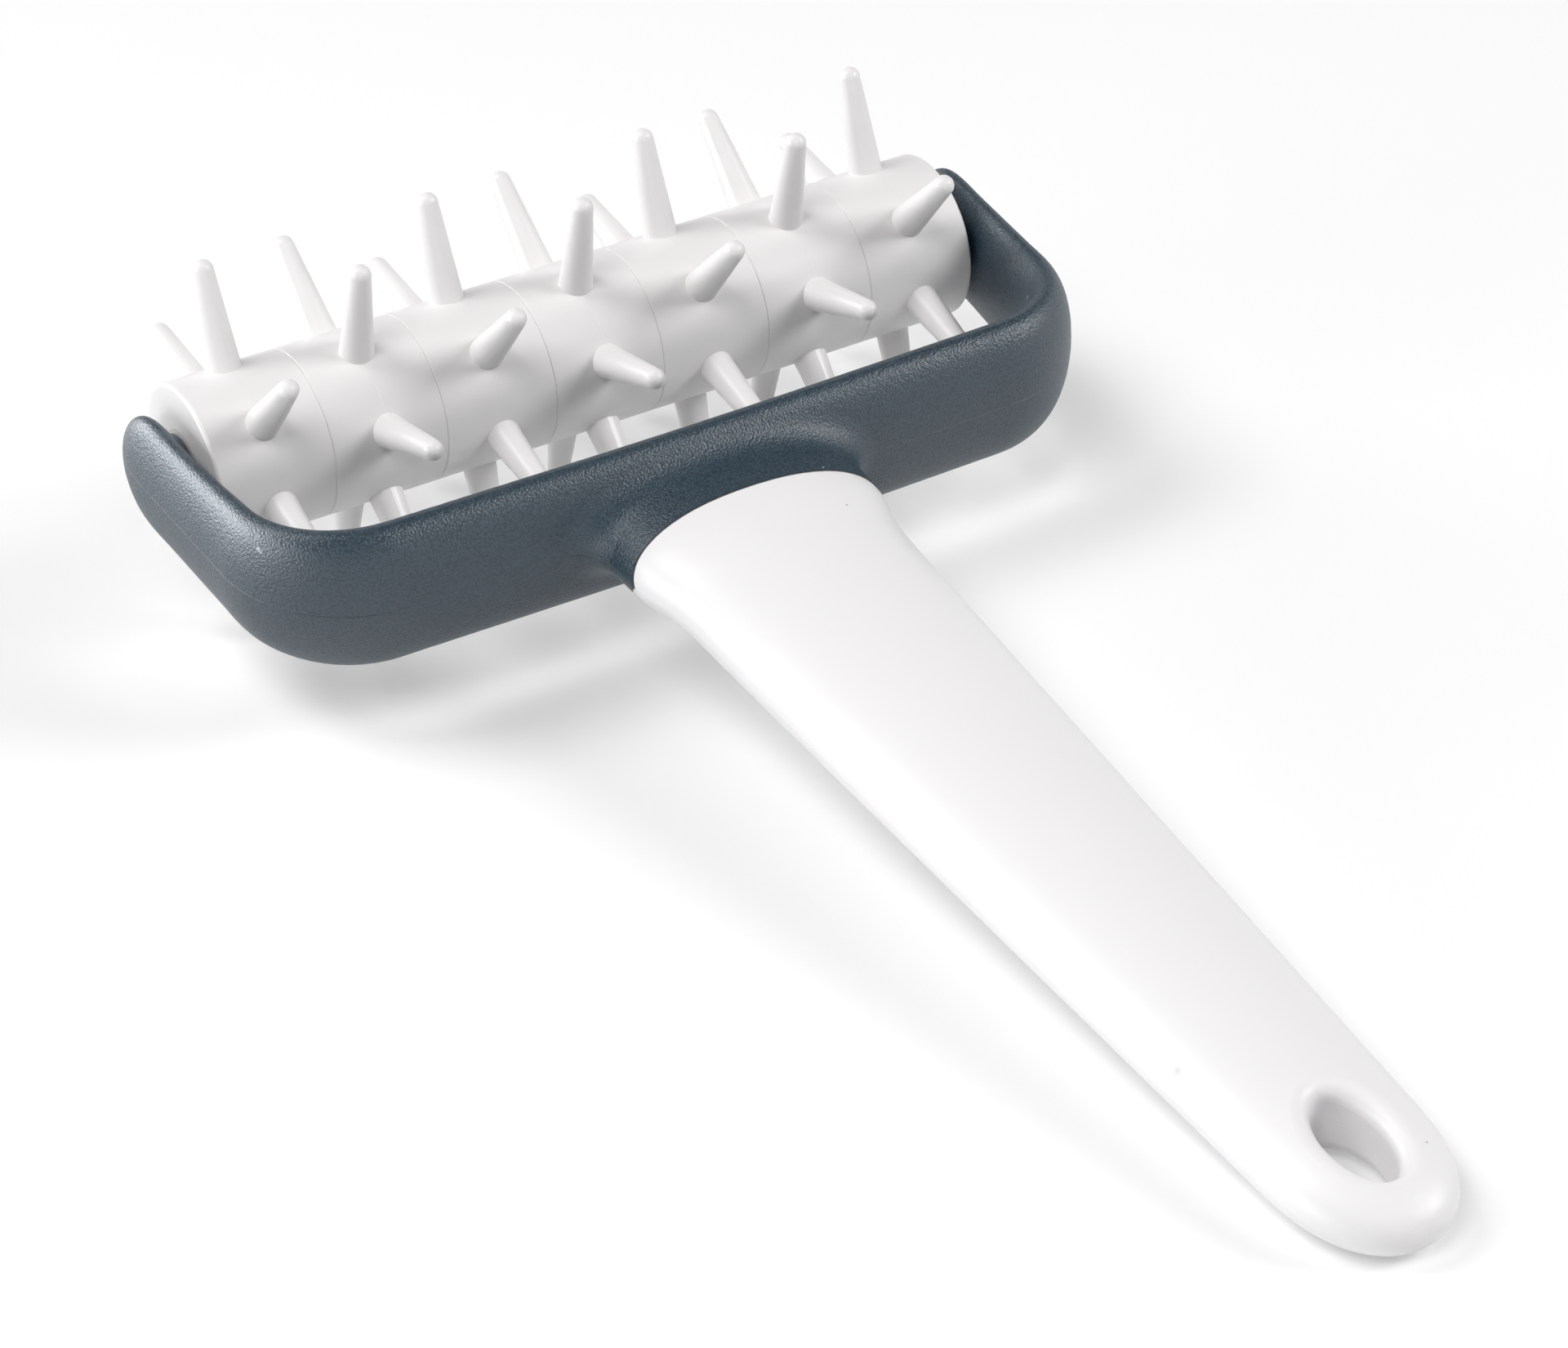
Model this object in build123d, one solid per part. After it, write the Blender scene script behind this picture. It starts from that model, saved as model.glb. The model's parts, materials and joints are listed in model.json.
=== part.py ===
from build123d import *
import os
from math import asin, atan2, cos, degrees, exp, hypot, radians, sin, tan

os.makedirs("parts", exist_ok=True)

# A dough docker: a roller of seven spiked rings turns on a steel axle between the arms
# of a yoke, and a long flat handle of two shells is closed round the yoke's tang.
# Everything is in millimetres. The yoke and the handle are drawn level, with the axle
# along X through the origin and the handle towards -Y, and are then tipped about the
# axle until the handle's end and the lower spikes stand on one board.

# Spiked rings
ring_count = 7
ring_width = 16.0
ring_radius = 11.3
ring_edge_break = 0.2
roller_end_round = 0.5
spikes_per_ring = 6
spike_reach = 25.7
spike_base_radius = 2.3
spike_tip_radius = 1.4

# Core tube with its key, and the two flanged bushes in its ends
core_radius = 7.0
core_bore_radius = 4.5
key_width = 2.4
key_height = 1.0
push_fit = 0.04
bush_flange = 1.2
bush_flange_radius = 5.2
bush_length = 11.0

# Axle rod
axle_radius = 2.5
axle_end_break = 0.4
running_clearance = 0.05
axle_fit = 0.02

# Yoke band, which grows from the arm's section to the bar's between two shares of the
# way from an arm's tip to the middle
arm_thickness = 5.4
arm_height = 16.8
bar_thickness = 8.2
bar_height = 20.6
bar_clearance = 6.3
bend_radius = 17.5
arm_lean = 1.7
bar_bow = 1.0
tip_setback = 0.6
blend_start_share = 0.04
blend_end_share = 0.52
tip_round_power = 2.2
boss_radius = 4.8
boss_height = 0.75
end_play = 0.35
blind_wall = 1.9

# Neck of the yoke, its spigot and its tang
neck_width = 36.2
neck_height = 14.3
neck_length = 9.3
neck_flare_width = 2.4
neck_flare_height = 1.4
neck_root_fillet = 5.0
neck_flare_run = 4.4
seam_rake_above = 3.1
seam_rake_below = 6.0
oval_power = 2.25
belly_lift_share = 0.24
belly_lift_run = 23.0
spigot_length = 5.0
spigot_fit = 0.3
tang_width = 17.0
tang_thickness = 5.0
tang_length = 52.0

# Handle
handle_reach = 189.4
grip_width_root = 33.1
grip_width_end = 20.0
grip_height_root = 13.9
grip_height_end = 9.6
grip_flare_run = 5.4
end_round_length = 15.0
end_plan_power = 2.2
end_side_power = 2.6
shell_wall = 2.4

# Hanging hole
hole_width = 7.2
hole_length = 13.5
hole_from_end = 13.6
hole_rim_round = 2.0
hole_sleeve_wall = 2.0

# Pegs of the lower shell, which pass the tang and enter the upper shell
peg_radius = 2.3
peg_boss_radius = 4.2
peg_fit = 0.1
peg_entry = 1.8
mid_peg_share = 0.55

# Worked out from the sizes above
roller_length = ring_count * ring_width
spike_pitch = 360 / spikes_per_ring
row_half_step = spike_pitch / 4
spike_centre_radius = spike_reach - spike_tip_radius
axle_height = spike_centre_radius * cos(radians(row_half_step)) + spike_tip_radius
arm_inner = roller_length / 2 + end_play + boss_height
arm_mid = arm_inner + arm_thickness / 2
bar_inner = spike_reach + bar_clearance
bar_mid = bar_inner + bar_thickness / 2
seam_depth = bar_inner + bar_thickness + neck_length
axle_half = arm_inner + arm_thickness - blind_wall
grip_length = handle_reach - seam_depth
overrun = ring_width


def smooth(share):
    """Eases a share from 0 to 1 without a corner at either end."""
    share = min(max(share, 0), 1)
    return share * share * (3 - 2 * share)


def along_x(radius, start, end):
    """A round bar along X from start to end."""
    bar = Cylinder(radius, end - start, rotation=(0, 90, 0))
    return Pos((start + end) / 2, 0, 0) * bar


def belly(depth):
    """The share of its half height that a section has below its middle, least near the seam."""
    return 1 - belly_lift_share * exp(-max(depth - seam_depth, 0) / belly_lift_run)


def upright_oval(half_width, half_height, depth):
    """A slightly squared oval face across the handle's length, at a depth from the axle."""
    points = []
    for turn in range(0, 360, 18):
        along, up = cos(radians(turn)), sin(radians(turn))
        stretch = (abs(along) ** oval_power + abs(up) ** oval_power) ** (-1 / oval_power)
        tall = half_height * (belly(depth) if up < 0 else 1)
        points.append((half_width * along * stretch, tall * up * stretch))
    at = Plane(origin=(0, -depth, 0), x_dir=(1, 0, 0), z_dir=(0, -1, 0))
    return at * make_face(Spline(*points, periodic=True))


# Roller


def spike():
    """A tapered spike with a ball tip, turned in one piece from its foot inside the barrel's wall."""
    lean = asin((spike_base_radius - spike_tip_radius) / (spike_centre_radius - ring_radius))
    foot = core_radius / 2
    root = (spike_base_radius + (ring_radius - foot) * tan(lean), foot)
    shoulder = (spike_tip_radius * cos(lean), spike_centre_radius + spike_tip_radius * sin(lean))
    tip = (0, spike_reach)
    outline = Polyline(tip, (0, foot), root, shoulder) + RadiusArc(shoulder, tip, -spike_tip_radius)
    return revolve(make_face(Plane.XZ * outline), Axis.Z)


def key(length, extra=0):
    """The rib along the core tube, or with extra room the slot for it in a ring."""
    height = core_radius / 2 + key_height + extra
    rib = Box(length, key_width + 2 * extra, height)
    return Pos(0, 0, core_radius + key_height + extra - height / 2) * rib


def spiked_ring(number):
    """One ring, its spikes half a step on from its neighbours', with an end wall if at an end."""
    middle = (number - (ring_count - 1) / 2) * ring_width
    phase = row_half_step if number % 2 else -row_half_step
    barrel = Cylinder(ring_radius, ring_width, rotation=(0, 90, 0))
    low_edge, high_edge = barrel.edges().filter_by(GeomType.CIRCLE).sort_by(Axis.X)
    first = number == 0
    last = number == ring_count - 1
    barrel = fillet(low_edge, roller_end_round if first else ring_edge_break)
    high_edge = barrel.edges().filter_by(GeomType.CIRCLE).sort_by(Axis.X)[-1]
    barrel = fillet(high_edge, roller_end_round if last else ring_edge_break)
    spikes = [Rot(phase + spike_pitch * turn, 0, 0) * spike() for turn in range(spikes_per_ring)]
    ring = barrel + spikes
    room = Cylinder(core_radius + push_fit, ring_width + 2 * overrun, rotation=(0, 90, 0))
    room += key(ring_width + 2 * overrun, push_fit)
    wall_shift = overrun + bush_flange if first else 0
    wall_shift = -overrun - bush_flange if last else wall_shift
    ring -= Pos(wall_shift, 0, 0) * room
    if first or last:
        ring -= Cylinder(bush_flange_radius + push_fit, ring_width + overrun, rotation=(0, 90, 0))
    return Pos(middle, 0, 0) * ring


def roller_core():
    """The tube that carries the rings, with its key, ending short of the bush flanges."""
    length = roller_length - 2 * bush_flange
    tube = Cylinder(core_radius, length, rotation=(0, 90, 0))
    tube += key(length)
    return tube - Cylinder(core_bore_radius, length + 2 * overrun, rotation=(0, 90, 0))


def bush(side):
    """A flanged bush, its flange inside the end ring's wall and flush with it."""
    end = roller_length / 2
    sleeve = along_x(core_bore_radius - push_fit, end - bush_length, end)
    flange = along_x(bush_flange_radius, end - bush_flange, end)
    bore = along_x(axle_radius + running_clearance, end - bush_length - overrun, end + overrun)
    made = sleeve + flange - bore
    return made if side > 0 else mirror(made, about=Plane.YZ)


# Axle


def axle_rod():
    """The fixed steel rod, with its ends broken so that it enters the bosses."""
    rod = Cylinder(axle_radius, 2 * axle_half, rotation=(0, 90, 0))
    return chamfer(rod.edges().filter_by(GeomType.CIRCLE), axle_end_break)


# Yoke


def band_path():
    """The yoke's outer line in plan, from one arm tip round the bowed crossbar to the other."""
    outer = arm_inner + arm_thickness
    far = bar_inner + bar_thickness
    across = outer - arm_lean
    bow_radius = across / 3 / tan(atan2(bar_bow, across))
    points = [
        (outer, -tip_setback),
        (across, bar_bow - far),
        (0, -far),
        (-across, bar_bow - far),
        (-outer, -tip_setback),
    ]
    return FilletPolyline(*points, radius=[bend_radius, bow_radius, bend_radius])


def band_oval(middle, way, thickness, height):
    """An oval face across the band, square to its way, round a point of its middle."""
    at = Plane(origin=middle, x_dir=Vector(0, 0, 1), z_dir=way)
    return at * Ellipse(height / 2, thickness / 2)


def inside_line(path, share, thickness):
    """The band's middle at a share of its outer line, and the way the line runs there."""
    way = path % share
    inward = way.cross(Vector(0, 0, 1))
    return path @ share + inward * thickness / 2, way


def band_tip(path):
    """The sections that round an arm off past the end of its outer line, and its end point."""
    middle, way = inside_line(path, 1, arm_thickness)
    end_reach = way * arm_height / 2
    sections = []
    for turn in (20, 40, 55, 68, 78, 85):
        reach = sin(radians(turn))
        height = arm_height * cos(radians(turn))
        thickness = arm_thickness * (1 - reach**tip_round_power) ** (1 / tip_round_power)
        sections.append(band_oval(middle + end_reach * reach, way, thickness, height))
    return sections + [Vertex(*(middle + end_reach))]


def yoke_band():
    """The lens-sectioned band of arms and crossbar, lofted as one half and its mirror image."""
    path = band_path()
    stations = 24
    sections = []
    for number in range(stations + 1):
        to_tip = number / stations
        blend = (1 - to_tip - blend_start_share) / (blend_end_share - blend_start_share)
        thickness = arm_thickness + (bar_thickness - arm_thickness) * smooth(blend)
        height = arm_height + (bar_height - arm_height) * smooth(blend)
        middle, way = inside_line(path, (1 + to_tip) / 2, thickness)
        sections.append(band_oval(middle, way, thickness, height))
    half = loft(sections + band_tip(path))
    return half + mirror(half, about=Plane.YZ)


def past_seam(depth):
    """All that lies beyond the raked seam, which leans back above and below the middle."""
    reach = handle_reach + overrun
    tall = bar_height
    above = depth - seam_rake_above * tall / (neck_height / 2)
    below = depth - seam_rake_below * tall / (neck_height / 2)
    points = [(-depth, 0), (-above, tall), (-reach, tall), (-reach, -tall), (-below, -tall)]
    face = make_face(Plane.YZ * Polyline(*points, close=True))
    return extrude(face, bar_height * 2, both=True)


def neck():
    """The flaring neck from the crossbar to the seam, drawn longer and cut back to it."""
    sections = []
    steps = 8
    end = seam_depth + seam_rake_above
    for number in range(steps + 1):
        depth = bar_mid + (end - bar_mid) * number / steps
        flare = exp(-(depth - bar_mid) / neck_flare_run)
        half_width = neck_width / 2 + neck_flare_width * flare
        half_height = neck_height / 2 + neck_flare_height / 2 * flare
        sections.append(upright_oval(half_width, half_height, depth))
    return loft(sections) - past_seam(seam_depth)


def on_neck_root(edge):
    """Whether an edge is where the neck leaves the crossbar's outer face."""
    box = edge.bounding_box()
    between = box.min.Y > bar_thickness / 3 - seam_depth and box.max.Y < -bar_inner
    return between and box.size.X > neck_width / 3


def pegs():
    """Depths of the two pegs that pass through the tang, and of the one beyond it."""
    start = seam_depth + spigot_length
    end = seam_depth + tang_length
    spread = (end - start) / 4
    beyond = seam_depth + grip_length * mid_peg_share
    return start + spread, end - spread, beyond


def tang():
    """The flat tongue inside the handle, with its two peg holes and a rounded end."""
    start = bar_mid
    end = seam_depth + tang_length
    blade = Pos(0, -(start + end) / 2, 0) * Box(tang_width, end - start, tang_thickness)
    corners = blade.edges().filter_by(Axis.Z).group_by(Axis.Y)[0]
    blade = fillet(corners, tang_width / 3)
    for depth in pegs()[:2]:
        blade -= Pos(0, -depth, 0) * Cylinder(peg_radius + peg_fit, tang_thickness * 2)
    return blade


def spigot():
    """The oval plug in the mouth of the handle, made to pass its narrowest place near there."""
    end = seam_depth + spigot_length
    places = (seam_depth, end, end + spigot_length)
    half_width = min(handle_half_width(depth) for depth in places) - shell_wall - spigot_fit
    half_height = min(handle_half_height(depth) for depth in places) - shell_wall - spigot_fit
    return extrude(upright_oval(half_width, half_height, bar_mid), end - bar_mid)


def left_half(body):
    """What a body has on the left of the middle, to be finished and then mirrored."""
    side = 4 * handle_reach
    return body & Pos(-side / 2, 0, 0) * Box(side, side, side)


def yoke():
    """The whole yoke moulding: band, bosses with blind bores, neck, spigot and tang."""
    half = left_half(yoke_band() + neck())
    half = fillet([edge for edge in half.edges() if on_neck_root(edge)], neck_root_fillet)
    body = half + mirror(half, about=Plane.YZ)
    body += spigot() + tang()
    for side in (-1, 1):
        face = roller_length / 2 + end_play
        body += along_x(boss_radius, *sorted((side * face, side * arm_mid)))
        body -= along_x(axle_radius + axle_fit, *sorted((side * (face - overrun), side * axle_half)))
    return body


# Handle


def handle_half_width(depth, inset=0):
    """Half the handle's width at a depth from the axle, before its end is rounded."""
    past_seam_by = max(depth - seam_depth, 0)
    line = grip_width_root + (grip_width_end - grip_width_root) * past_seam_by / grip_length
    flare = (neck_width - grip_width_root) * exp(-((past_seam_by / grip_flare_run) ** 2))
    return (line + flare) / 2 - inset


def handle_half_height(depth, inset=0):
    """Half the handle's height at a depth from the axle, before its end is rounded."""
    past_seam_by = max(depth - seam_depth, 0)
    line = grip_height_root + (grip_height_end - grip_height_root) * past_seam_by / grip_length
    flare = (neck_height - grip_height_root) * exp(-((past_seam_by / grip_flare_run) ** 2))
    return (line + flare) / 2 - inset


def handle_stations(inset=0):
    """Depth, half width and half height of each section down to the rounded end."""
    start = seam_depth - 2 * max(seam_rake_above, seam_rake_below)
    straight_end = handle_reach - end_round_length
    run = straight_end - start
    stations = []
    for share in (0, 0.045, 0.085, 0.11, 0.13, 0.16, 0.2, 0.27, 0.36, 0.47, 0.6, 0.73, 0.85, 0.93, 1):
        depth = start + run * share
        stations.append((depth, handle_half_width(depth, inset), handle_half_height(depth, inset)))
    for turn in (10, 22, 34, 46, 57, 67, 76, 84):
        way = sin(radians(turn))
        depth = straight_end + (end_round_length - inset) * way
        width = handle_half_width(depth, inset) * (1 - way**end_plan_power) ** (1 / end_plan_power)
        height = handle_half_height(depth, inset) * (1 - way**end_side_power) ** (1 / end_side_power)
        stations.append((depth, width, height))
    return stations


def handle_body(inset=0):
    """The handle's full form, or with an inset the hollow inside its shells."""
    sections = [upright_oval(width, height, depth) for depth, width, height in handle_stations(inset)]
    tip = Vertex(0, -(handle_reach - inset), 0)
    return loft(sections + [tip])


def oval_post(grow):
    """An upright oval bar at the hanging hole, grown all round by a wall."""
    centre = handle_reach - hole_from_end
    face = Ellipse(hole_width / 2 + grow, hole_length / 2 + grow)
    return Pos(0, -centre, 0) * extrude(face, neck_height, both=True)


def handle_shells():
    """The upper and the lower shell, which meet at mid height."""
    outer = handle_body() & past_seam(seam_depth)
    outer -= oval_post(0)
    bore_edges = [edge for edge in outer.edges() if on_hole_rim(edge)]
    outer = fillet(bore_edges, hole_rim_round)
    hollow = handle_body(shell_wall) - oval_post(hole_sleeve_wall + hole_rim_round)
    shell = outer - hollow
    above = Pos(0, -handle_reach / 2, bar_height / 2) * Box(4 * neck_width, 2 * handle_reach, bar_height)
    below = mirror(above, about=Plane.XY)
    upper = shell & above
    lower = shell & below
    inside = handle_body(shell_wall / 2)
    for number, depth in enumerate(pegs()):
        seat = tang_thickness / 2 if number < 2 else 0
        spot = Pos(0, -depth, 0)
        post = spot * Pos(0, 0, seat + neck_height / 2) * Cylinder(peg_boss_radius, neck_height)
        upper += post & inside
        lower += mirror(post, about=Plane.XY) & inside
        top = seat + peg_entry
        peg = spot * Pos(0, 0, (top - seat) / 2) * Cylinder(peg_radius, top + seat)
        peg_root = spot * Pos(0, 0, -seat - peg_entry / 2) * Cylinder(peg_radius, peg_entry)
        lower += peg + peg_root
        socket = spot * Pos(0, 0, (top + peg_fit) / 2) * Cylinder(peg_radius + peg_fit, top + peg_fit)
        upper -= socket
    return upper, lower


def on_hole_rim(edge):
    """Whether an edge is a rim of the hanging hole, above or below."""
    centre = handle_reach - hole_from_end
    spot = edge.center(CenterOf.BOUNDING_BOX)
    near = hypot(spot.X, spot.Y + centre) < hole_width / 2
    return near and abs(spot.Z) > shell_wall / 2 and edge.length > hole_length


# Resting attitude


def rest_angle():
    """The tip at which the handle's end and the lower spikes touch one board."""
    angles = []
    for depth, _, half in handle_stations():
        under = half * belly(depth)
        angles.append(asin(axle_height / hypot(depth, under)) - atan2(under, depth))
    return degrees(min(angles))


tip_angle = rest_angle()
upper_shell, lower_shell = handle_shells()

fixed = {
    "yoke": yoke(),
    "axle_rod": axle_rod(),
    "handle_upper_shell": upper_shell,
    "handle_lower_shell": lower_shell,
}
turning = {
    "roller_core": roller_core(),
    "roller_bush_left": bush(-1),
    "roller_bush_right": bush(1),
}
for number in range(ring_count):
    turning[f"spiked_ring_{number + 1}"] = spiked_ring(number)

stood = {name: Rot(tip_angle, 0, 0) * shape for name, shape in fixed.items()}
stood.update(turning)
raised = {name: Pos(0, 0, axle_height) * shape for name, shape in stood.items()}

# The origin is under the middle of the whole object's box
boxes = [shape.bounding_box() for shape in raised.values()]
near_y = min(box.min.Y for box in boxes)
far_y = max(box.max.Y for box in boxes)
for name, shape in raised.items():
    export_step(Pos(0, -(near_y + far_y) / 2, 0) * shape, f"parts/{name}.step")

print("tip angle", round(tip_angle, 4))
print("axle y and z", round(-(near_y + far_y) / 2, 4), round(axle_height, 4))
print("length", round(far_y - near_y, 3))
print("width", round(max(box.max.X for box in boxes) * 2, 3))
print("top", round(max(box.max.Z for box in boxes), 3))
print("bottom", round(min(box.min.Z for box in boxes), 3))
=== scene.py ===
import json
from math import atan2, cos, radians, sin

import bpy
from mathutils import Matrix, Vector


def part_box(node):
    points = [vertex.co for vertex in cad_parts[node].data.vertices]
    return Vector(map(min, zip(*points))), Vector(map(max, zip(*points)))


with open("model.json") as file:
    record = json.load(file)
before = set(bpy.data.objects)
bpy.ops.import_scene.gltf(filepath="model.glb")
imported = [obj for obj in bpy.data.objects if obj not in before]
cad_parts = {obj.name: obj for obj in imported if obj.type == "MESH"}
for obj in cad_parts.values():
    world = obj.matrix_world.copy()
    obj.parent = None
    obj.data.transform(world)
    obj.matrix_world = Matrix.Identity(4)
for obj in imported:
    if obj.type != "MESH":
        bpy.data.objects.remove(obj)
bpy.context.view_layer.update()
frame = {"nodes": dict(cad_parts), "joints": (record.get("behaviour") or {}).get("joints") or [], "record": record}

# Camera
# A long plain lens that looks down on the docker from the handle's left side, rolled a little
# as in the photograph.

aim = Vector((0.01117, 0.04743, -0.01229))
camera_distance = 0.64643
camera_turn = radians(-29.483)
camera_rise = radians(33.2153)
camera_roll = radians(2.3265)
lens_length = 112.12
film_width = 36
nearest_seen = 0.01

backward = Vector(
    (sin(camera_turn) * cos(camera_rise), -cos(camera_turn) * cos(camera_rise), sin(camera_rise))
)
turned = Matrix.Rotation(camera_turn, 4, "Z")
raised = Matrix.Rotation(radians(90) - camera_rise, 4, "X")
rolled = Matrix.Rotation(-camera_roll, 4, "Z")
stand = Matrix.Translation(aim + backward * camera_distance)
bpy.ops.object.camera_add()
camera = bpy.context.object
camera.matrix_world = stand @ turned @ raised @ rolled
camera.data.lens = lens_length
camera.data.sensor_fit = "HORIZONTAL"
camera.data.sensor_width = film_width
camera.data.clip_start = nearest_seen
bpy.context.scene.camera = camera
bpy.context.scene.view_settings.view_transform = "Standard"

# Floor, background and lamps
# A white sheet that keeps the docker's shadow, in a white room with a dimmer ceiling, lit by two
# low windows, two high lamps and one on the right, and by a card that shows only as gloss.

surround_level = 0.08
ceiling_level = 0.25
ceiling_starts = 0.15
ceiling_full = 0.65
sheet_white = (0.86, 0.86, 0.86, 1)
shadow_share = 0.76
shadow_lift = 0.26
sheet_size = 6
lamp_target = Vector((0, 0, 0.02))
lamp_distance = 1.2
lamp_size = 0.5
low_card_size = 0.9
daylight = (0.97, 0.985, 1.0)
warm_white = (1.0, 0.995, 0.99)
plain_white = (1.0, 1.0, 1.0)
cold_white = (0.94, 0.975, 1.0)


def put(tree, kind, sockets=None, **settings):
    """One shader node, with its settings, and each socket given a value or a link."""
    made = tree.nodes.new("ShaderNode" + kind)
    for name, value in settings.items():
        setattr(made, name, value)
    for name, value in (sockets or {}).items():
        if isinstance(value, bpy.types.NodeSocket):
            tree.links.new(value, made.inputs[name])
        else:
            made.inputs[name].default_value = value
    return made


def larger(tree, one, other):
    """The larger of two values."""
    return put(tree, "Math", {0: one, 1: other}, operation="MAXIMUM").outputs[0]


def seen_directly(tree):
    """1 for what the camera, a reflection or a view through glass sees, else 0."""
    path = put(tree, "LightPath")
    straight_or_mirrored = larger(tree, path.outputs["Is Camera Ray"], path.outputs["Is Glossy Ray"])
    return larger(tree, straight_or_mirrored, path.outputs["Is Transmission Ray"])


def aim_lamp(name, side, rise, power, colour):
    """A square soft lamp that looks at the docker from a side, counted from +X, and a rise, in degrees."""
    side, rise = radians(side), radians(rise)
    way = Vector((cos(side) * cos(rise), sin(side) * cos(rise), sin(rise)))
    bpy.ops.object.light_add(
        type="AREA",
        location=lamp_target + way * lamp_distance,
        rotation=way.to_track_quat("Z", "Y").to_euler(),
    )
    lamp = bpy.context.object
    lamp.name = name
    lamp.data.shape = "SQUARE"
    lamp.data.size = lamp_size
    lamp.data.energy = power
    lamp.data.color = colour
    return lamp


world = bpy.data.worlds.new("surround")
bpy.context.scene.world = world
world.use_nodes = True
sky = world.node_tree
sky.nodes.clear()
way_up = put(sky, "SeparateXYZ", {0: put(sky, "TexCoord").outputs["Generated"]})
room = put(
    sky,
    "MapRange",
    {
        "Value": way_up.outputs["Z"],
        "From Min": ceiling_starts,
        "From Max": ceiling_full,
        "To Min": 1.0,
        "To Max": ceiling_level,
    },
    interpolation_type="SMOOTHSTEP",
)
to_camera = put(sky, "LightPath").outputs["Is Camera Ray"]
backdrop = put(sky, "MapRange", {"Value": to_camera, "To Min": room.outputs[0], "To Max": 1.0})
strength = put(
    sky,
    "MapRange",
    {"Value": seen_directly(sky), "To Min": surround_level, "To Max": backdrop.outputs[0]},
)
ambient = put(sky, "Background", {"Color": (1, 1, 1, 1), "Strength": strength.outputs[0]})
put(sky, "OutputWorld", {0: ambient.outputs[0]})

bpy.ops.object.select_all(action="DESELECT")
bpy.ops.mesh.primitive_plane_add(size=sheet_size)
floor = bpy.context.object
floor.name = "floor"
paper = bpy.data.materials.new("paper")
paper.use_nodes = True
sheet = paper.node_tree
sheet.nodes.clear()
plain = put(sheet, "BsdfDiffuse", {"Color": sheet_white})
shown = put(sheet, "BsdfDiffuse", {"Color": (shadow_share, shadow_share, shadow_share, 1)})
lift = put(sheet, "Emission", {"Color": (1, 1, 1, 1), "Strength": shadow_lift})
lifted = put(sheet, "AddShader", {0: shown.outputs[0], 1: lift.outputs[0]})
picked = put(sheet, "MixShader", {0: seen_directly(sheet), 1: plain.outputs[0], 2: lifted.outputs[0]})
put(sheet, "OutputMaterial", {0: picked.outputs[0]})
floor.data.materials.append(paper)

aim_lamp("back_window", side=118, rise=10, power=5.0, colour=daylight)
aim_lamp("left_window", side=180, rise=10, power=3.6, colour=daylight)
aim_lamp("high_back_lamp", side=145, rise=55, power=5.3, colour=warm_white)
aim_lamp("right_lamp", side=-33, rise=35, power=7.6, colour=plain_white)
high_front = aim_lamp("high_front_lamp", side=215, rise=55, power=5.0, colour=warm_white)
high_front.visible_glossy = False
low_card = aim_lamp("low_card", side=142, rise=7, power=25.0, colour=cold_white)
low_card.data.size = low_card_size
low_card.visible_diffuse = False

# Yoke
# The dark frame that carries the roller: one injection moulding in slate blue-grey plastic, with
# a fine spark grain and a parting line round its outer side at mid height.

roller_spin = frame["joints"][0]
axle = Vector(roller_spin["pos_m"])
hanging_hole = frame["record"]["mounts"][0]
handle_square = Vector(hanging_hole["axis"])
tilt = atan2(-handle_square.y, handle_square.z)
seam_depth = 0.0495
seam_rake_above = 0.434
seam_rake_below = 0.839
slate_tone = (0.022, 0.049, 0.072, 1)
slate_other_tone = (0.027, 0.056, 0.080, 1)
slate_pit = (0.004, 0.018, 0.032, 1)
# Painted shade: the near-black laid along the seam where the handle shells meet the yoke, for the shade in a gap
# that the shapes leave closed.
slate_seam_shade = (0.006, 0.012, 0.018, 1)
slate_nick = (0.45, 0.50, 0.54, 1)
slate_line_rise = 1.2
slate_shine = 0.88
nicks = [
    ((-0.05912, 0.0528, 0.02873), 0.00045),
    ((-0.05890, 0.0524, 0.02840), 0.00035),
    ((0.05376, 0.05331, 0.02854), 0.0005),
    ((0.01104, 0.035, 0.02575), 0.00022),
]


def new_group(name, inputs, outputs):
    """An empty shader node group with named inputs and outputs: its tree and its two end nodes."""
    tree = bpy.data.node_groups.new(name, "ShaderNodeTree")
    for label, kind, value in inputs:
        socket = tree.interface.new_socket(label, in_out="INPUT", socket_type="NodeSocket" + kind)
        if value is not None:
            socket.default_value = value
    for label, kind in outputs:
        tree.interface.new_socket(label, in_out="OUTPUT", socket_type="NodeSocket" + kind)
    start = tree.nodes.new("NodeGroupInput")
    end = tree.nodes.new("NodeGroupOutput")
    return tree, start, end


def place(tree, group, sockets):
    """A node group put into a material, with this material's values."""
    return put(tree, "Group", sockets, node_tree=group)


def blended(tree, share, colour, other):
    """A colour that gives way to another by a share from 0 to 1."""
    mixed = put(tree, "Mix", {"Factor": share, "A": colour, "B": other}, data_type="RGBA")
    return mixed.outputs["Result"]


def times(tree, value, factor):
    """A value times another."""
    return put(tree, "Math", {0: value, 1: factor}, operation="MULTIPLY").outputs[0]


def per_metre(tree, size):
    """The scale at which a pattern's unit has a size in metres."""
    return put(tree, "Math", {0: 1.0, 1: size}, operation="DIVIDE").outputs[0]


def faded(tree, distance, reach):
    """1 where a distance is zero, and softly down to 0 at a reach."""
    fade = put(
        tree,
        "MapRange",
        {"Value": distance, "From Min": 0.0, "From Max": reach, "To Min": 1.0, "To Max": 0.0},
        interpolation_type="SMOOTHSTEP",
    )
    return fade.outputs[0]


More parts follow.
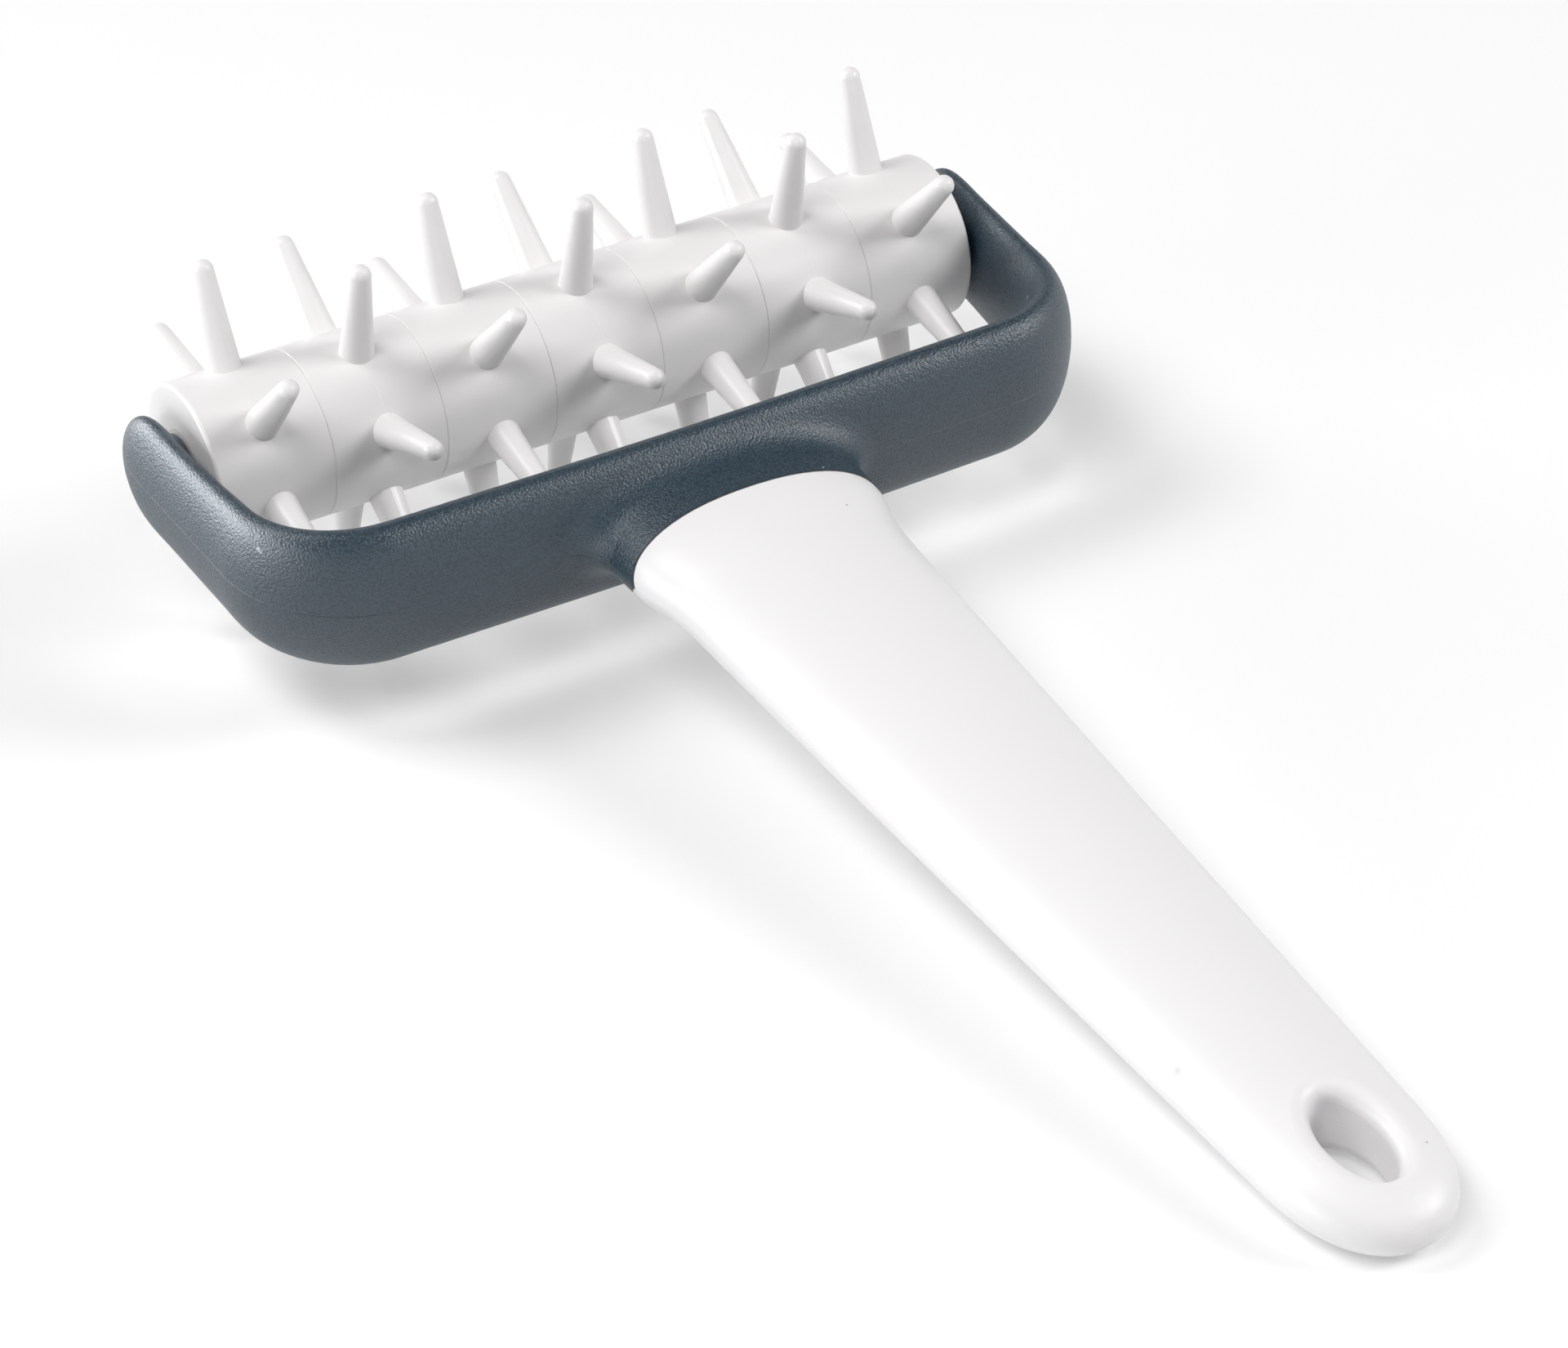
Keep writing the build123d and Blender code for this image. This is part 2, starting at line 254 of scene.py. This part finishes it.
def spark_grain():
    """Moulded grain: rounded cells of a given size, with a little finer roughness on them."""
    finer_by = 1.7
    tree, start, end = new_group(
        "spark_grain",
        [("Vector", "Vector", None), ("Cell", "Float", 0.00035), ("Fine", "Float", 0.3)],
        [("Height", "Float"), ("Pits", "Float")],
    )
    where = start.outputs["Vector"]
    cell_scale = per_metre(tree, start.outputs["Cell"])
    cells = put(
        tree,
        "TexVoronoi",
        {"Vector": where, "Scale": cell_scale, "Smoothness": 0.7},
        feature="SMOOTH_F1",
    )
    fine_scale = times(tree, cell_scale, finer_by)
    rough = put(tree, "TexNoise", {"Vector": where, "Scale": fine_scale, "Detail": 3.0})
    domes = put(tree, "Math", {0: 1.0, 1: cells.outputs["Distance"]}, operation="SUBTRACT")
    height = put(
        tree,
        "Math",
        {0: rough.outputs[0], 1: start.outputs["Fine"], 2: domes.outputs[0]},
        operation="MULTIPLY_ADD",
    )
    pits = put(
        tree,
        "MapRange",
        {"Value": cells.outputs["Distance"], "From Min": 0.2, "From Max": 0.65},
    )
    tree.links.new(height.outputs[0], end.inputs["Height"])
    tree.links.new(pits.outputs[0], end.inputs["Pits"])
    return tree


def soft_tint():
    """A colour that drifts slowly between two near tones, as pigment does in a moulding."""
    tree, start, end = new_group(
        "soft_tint",
        [
            ("Vector", "Vector", None),
            ("Tone", "Color", (0.5, 0.5, 0.5, 1)),
            ("Other tone", "Color", (0.4, 0.4, 0.4, 1)),
            ("Patch", "Float", 0.03),
        ],
        [("Colour", "Color"), ("Drift", "Float")],
    )
    patch_scale = per_metre(tree, start.outputs["Patch"])
    cloud = put(
        tree,
        "TexNoise",
        {"Vector": start.outputs["Vector"], "Scale": patch_scale, "Detail": 4.0, "Roughness": 0.6},
    )
    drift = put(tree, "MapRange", {"Value": cloud.outputs[0], "From Min": 0.3, "From Max": 0.7})
    colour = blended(tree, drift.outputs[0], start.outputs["Tone"], start.outputs["Other tone"])
    tree.links.new(colour, end.inputs["Colour"])
    tree.links.new(drift.outputs[0], end.inputs["Drift"])
    return tree


def parting_line():
    """A mask that is 1 on a plane through the piece and fades out over the line's half width."""
    tree, start, end = new_group(
        "parting_line",
        [("Distance", "Float", 0.0), ("Half width", "Float", 0.0001)],
        [("Line", "Float")],
    )
    off = put(tree, "Math", {0: start.outputs["Distance"]}, operation="ABSOLUTE")
    line = faded(tree, off.outputs[0], start.outputs["Half width"])
    tree.links.new(line, end.inputs["Line"])
    return tree


def seam_line():
    """A mask that is 1 along the raked seam where the handle starts, from level coordinates, which places the
    painted seam shade.
    """
    tree, start, end = new_group(
        "seam_line",
        [("Vector", "Vector", None), ("Half width", "Float", 0.0001)],
        [("Line", "Float")],
    )
    part = put(tree, "SeparateXYZ", {0: start.outputs["Vector"]})
    above = times(tree, part.outputs["Z"], seam_rake_above)
    below = times(tree, part.outputs["Z"], -seam_rake_below)
    beyond = put(tree, "Math", {0: part.outputs["Y"], 1: seam_depth}, operation="ADD")
    off = put(
        tree,
        "Math",
        {0: beyond.outputs[0], 1: larger(tree, above, below)},
        operation="SUBTRACT",
    )
    line = place(
        tree,
        line_group,
        {"Distance": off.outputs[0], "Half width": start.outputs["Half width"]},
    )
    tree.links.new(line.outputs[0], end.inputs["Line"])
    return tree


def small_mark():
    """A mask that is 1 at a spot, such as a nick or a speck, and fades out at its radius."""
    tree, start, end = new_group(
        "small_mark",
        [("Vector", "Vector", None), ("Spot", "Vector", None), ("Radius", "Float", 0.0003)],
        [("Mark", "Float")],
    )
    away = put(
        tree,
        "VectorMath",
        {0: start.outputs["Vector"], 1: start.outputs["Spot"]},
        operation="DISTANCE",
    )
    mark = faded(tree, away.outputs["Value"], start.outputs["Radius"])
    tree.links.new(mark, end.inputs["Mark"])
    return tree


def spotted(tree, where, colour, spots, mark_colour):
    """A colour with small marks on it, each a place and a radius in metres."""
    for spot, radius in spots:
        mark = place(tree, mark_group, {"Vector": where, "Spot": spot, "Radius": radius})
        colour = blended(tree, mark.outputs[0], colour, mark_colour)
    return colour


def with_line(tree, height, line, rise):
    """A height with a line that stands proud of it, or is sunk where the rise is negative."""
    return put(tree, "Math", {0: line, 1: rise, 2: height}, operation="MULTIPLY_ADD").outputs[0]


def levelled(tree, where):
    """Coordinates from the axle with the handle's slope taken out, and the height among them."""
    sockets = {"Vector": where, "Location": axle, "Rotation": (tilt, 0, 0)}
    level = put(tree, "Mapping", sockets, vector_type="TEXTURE").outputs[0]
    return level, put(tree, "SeparateXYZ", {0: level}).outputs["Z"]


def new_material(name):
    """An empty material, its node tree, its object coordinates and its Principled shader."""
    made = bpy.data.materials.new(name)
    made.use_nodes = True
    tree = made.node_tree
    tree.nodes.clear()
    where = put(tree, "TexCoord").outputs["Object"]
    shader = put(tree, "BsdfPrincipled")
    put(tree, "OutputMaterial", {0: shader.outputs[0]})
    return made, tree, where, shader


def surface(tree, shader, colour, height, strength, depth, drift, smoothest, roughest):
    """Gives a shader its colour, its relief, and a roughness that drifts between two values."""
    tree.links.new(colour, shader.inputs["Base Color"])
    bump = put(tree, "Bump", {"Strength": strength, "Distance": depth, "Height": height})
    tree.links.new(bump.outputs[0], shader.inputs["Normal"])
    sheen = put(tree, "MapRange", {"Value": drift, "To Min": smoothest, "To Max": roughest})
    tree.links.new(sheen.outputs[0], shader.inputs["Roughness"])


def wear(name, finish):
    """Gives a CAD node its finish."""
    node = frame["nodes"][name]
    node.data.materials.clear()
    node.data.materials.append(finish)


grain_group = spark_grain()
tint_group = soft_tint()
line_group = parting_line()
seam_group = seam_line()
mark_group = small_mark()

slate, tree, where, shader = new_material("slate_plastic")
level, height = levelled(tree, where)
tint = place(
    tree,
    tint_group,
    {"Vector": where, "Tone": slate_tone, "Other tone": slate_other_tone, "Patch": 0.03},
)
grain = place(tree, grain_group, {"Vector": where, "Cell": 0.00028, "Fine": 0.35})
line = place(tree, line_group, {"Distance": height, "Half width": 0.00009})
seam = place(tree, seam_group, {"Vector": level, "Half width": 0.0003})
pitted = blended(tree, grain.outputs["Pits"], tint.outputs["Colour"], slate_pit)
# Painted shade: the yoke goes near black along the seam with the handle, for the shade in a gap the shapes don't
# have.
seam_shaded = blended(tree, seam.outputs[0], pitted, slate_seam_shade)
surface(
    tree,
    shader,
    colour=spotted(tree, where, seam_shaded, nicks, slate_nick),
    height=with_line(tree, grain.outputs["Height"], line.outputs[0], slate_line_rise),
    strength=1.0,
    depth=0.000075,
    drift=tint.outputs["Drift"],
    smoothest=0.40,
    roughest=0.46,
)
shader.inputs["Specular IOR Level"].default_value = slate_shine
wear("yoke", slate)

# Spiked rings
# Seven rings side by side on the core, each moulded in one with its six spikes in white plastic,
# its two mould halves meeting in a faint line round the middle and along the spikes.

ring_count = 7
ring_tone = (0.86, 0.845, 0.843, 1)
ring_other_tone = (0.83, 0.813, 0.81, 1)
ring_line_rise = 3.0

for number in range(1, ring_count + 1):
    ring = f"spiked_ring_{number}"
    low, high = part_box(ring)
    middle = (low.x + high.x) / 2
    ring_white, tree, where, shader = new_material(f"ring_white_{number}")
    own = put(tree, "Mapping", {"Vector": where, "Location": (-middle, 0, 0)}).outputs[0]
    across = put(tree, "SeparateXYZ", {0: own})
    tint = place(
        tree,
        tint_group,
        {"Vector": own, "Tone": ring_tone, "Other tone": ring_other_tone, "Patch": 0.012},
    )
    line = place(tree, line_group, {"Distance": across.outputs["X"], "Half width": 0.00012})
    grain = place(tree, grain_group, {"Vector": own, "Cell": 0.0009, "Fine": 0.5})
    surface(
        tree,
        shader,
        colour=tint.outputs["Colour"],
        height=with_line(tree, grain.outputs["Height"], line.outputs[0], ring_line_rise),
        strength=0.25,
        depth=0.00002,
        drift=tint.outputs["Drift"],
        smoothest=0.30,
        roughest=0.38,
    )
    wear(ring, ring_white)

# Handle shells
# The long white grip, moulded in two halves that are welded along the edge at mid height and
# round the hanging hole, in satin white plastic.

satin_tone = (0.90, 0.888, 0.897, 1)
satin_other_tone = (0.885, 0.872, 0.88, 1)
# Painted shade: the dark laid along the seam where the shells meet the yoke, for the shade in a gap that the
# shapes leave closed.
satin_seam_shade = (0.03, 0.035, 0.045, 1)
satin_speck = (0.25, 0.24, 0.24, 1)
# Painted shade: the soft grey of the two spots below stands for the shade in a shallow dimple in the handle.
satin_dimple_shade = (0.66, 0.65, 0.66, 1)
satin_line_rise = -2.0
specks = [
    ((0.00957, 0.0269, 0.02479), 0.00022),
    ((0.01089, -0.06568, 0.01087), 0.00022),
    ((0.00615, -0.09809, 0.0086), 0.0002),
]
# Painted shade: two soft grey spots where the handle has a shallow dimple, standing in for the dimple's shade.
dimple_shades = [
    ((-0.01084, -0.07457, 0.00943), 0.0012),
    ((-0.0102, -0.07457, 0.00985), 0.0009),
]

satin, tree, where, shader = new_material("satin_white")
level, height = levelled(tree, where)
tint = place(
    tree,
    tint_group,
    {"Vector": where, "Tone": satin_tone, "Other tone": satin_other_tone, "Patch": 0.05},
)
grain = place(tree, grain_group, {"Vector": where, "Cell": 0.0005, "Fine": 0.5})
line = place(tree, line_group, {"Distance": height, "Half width": 0.00012})
seam = place(tree, seam_group, {"Vector": level, "Half width": 0.00024})
# Painted shade: the white shells go dark along the seam with the yoke, for the shade in a gap the shapes don't
# have.
seam_shaded = blended(tree, seam.outputs[0], tint.outputs["Colour"], satin_seam_shade)
specked = spotted(tree, where, seam_shaded, specks, satin_speck)
surface(
    tree,
    shader,
    # The dimple's painted shade goes on top of the specks.
    colour=spotted(tree, where, specked, dimple_shades, satin_dimple_shade),
    height=with_line(tree, grain.outputs["Height"], line.outputs[0], satin_line_rise),
    strength=0.2,
    depth=0.00002,
    drift=tint.outputs["Drift"],
    smoothest=0.36,
    roughest=0.42,
)
wear("handle_upper_shell", satin)
wear("handle_lower_shell", satin)

# Core and bushes
# The tube that the rings are keyed to and the flanged bush in each of its ends, moulded in
# natural, slightly yellower plastic that nothing colours.

natural_tone = (0.74, 0.73, 0.70, 1)
natural_other_tone = (0.70, 0.69, 0.655, 1)

natural, tree, where, shader = new_material("natural_plastic")
tint = place(
    tree,
    tint_group,
    {"Vector": where, "Tone": natural_tone, "Other tone": natural_other_tone, "Patch": 0.008},
)
grain = place(tree, grain_group, {"Vector": where, "Cell": 0.0007, "Fine": 0.6})
surface(
    tree,
    shader,
    colour=tint.outputs["Colour"],
    height=grain.outputs["Height"],
    strength=0.25,
    depth=0.00002,
    drift=tint.outputs["Drift"],
    smoothest=0.38,
    roughest=0.46,
)
for name in ("roller_core", "roller_bush_left", "roller_bush_right"):
    wear(name, natural)

# Axle rod
# A length of drawn steel rod, held in blind bores in the yoke's arms, which spring apart to take
# it. Drawing leaves fine scratches along it.

steel_tone = (0.50, 0.50, 0.51, 1)
steel_other_tone = (0.62, 0.62, 0.63, 1)
scratches_per_metre = (30, 9000, 9000)

steel, tree, where, shader = new_material("drawn_steel")
drawn_out = put(tree, "Mapping", {"Vector": where, "Scale": scratches_per_metre})
noise = put(tree, "TexNoise", {"Vector": drawn_out.outputs[0], "Scale": 1.0, "Detail": 3.0})
scratches = noise.outputs[0]
surface(
    tree,
    shader,
    colour=blended(tree, scratches, steel_tone, steel_other_tone),
    height=scratches,
    strength=0.2,
    depth=0.00001,
    drift=scratches,
    smoothest=0.22,
    roughest=0.34,
)
shader.inputs["Metallic"].default_value = 1.0
wear("axle_rod", steel)
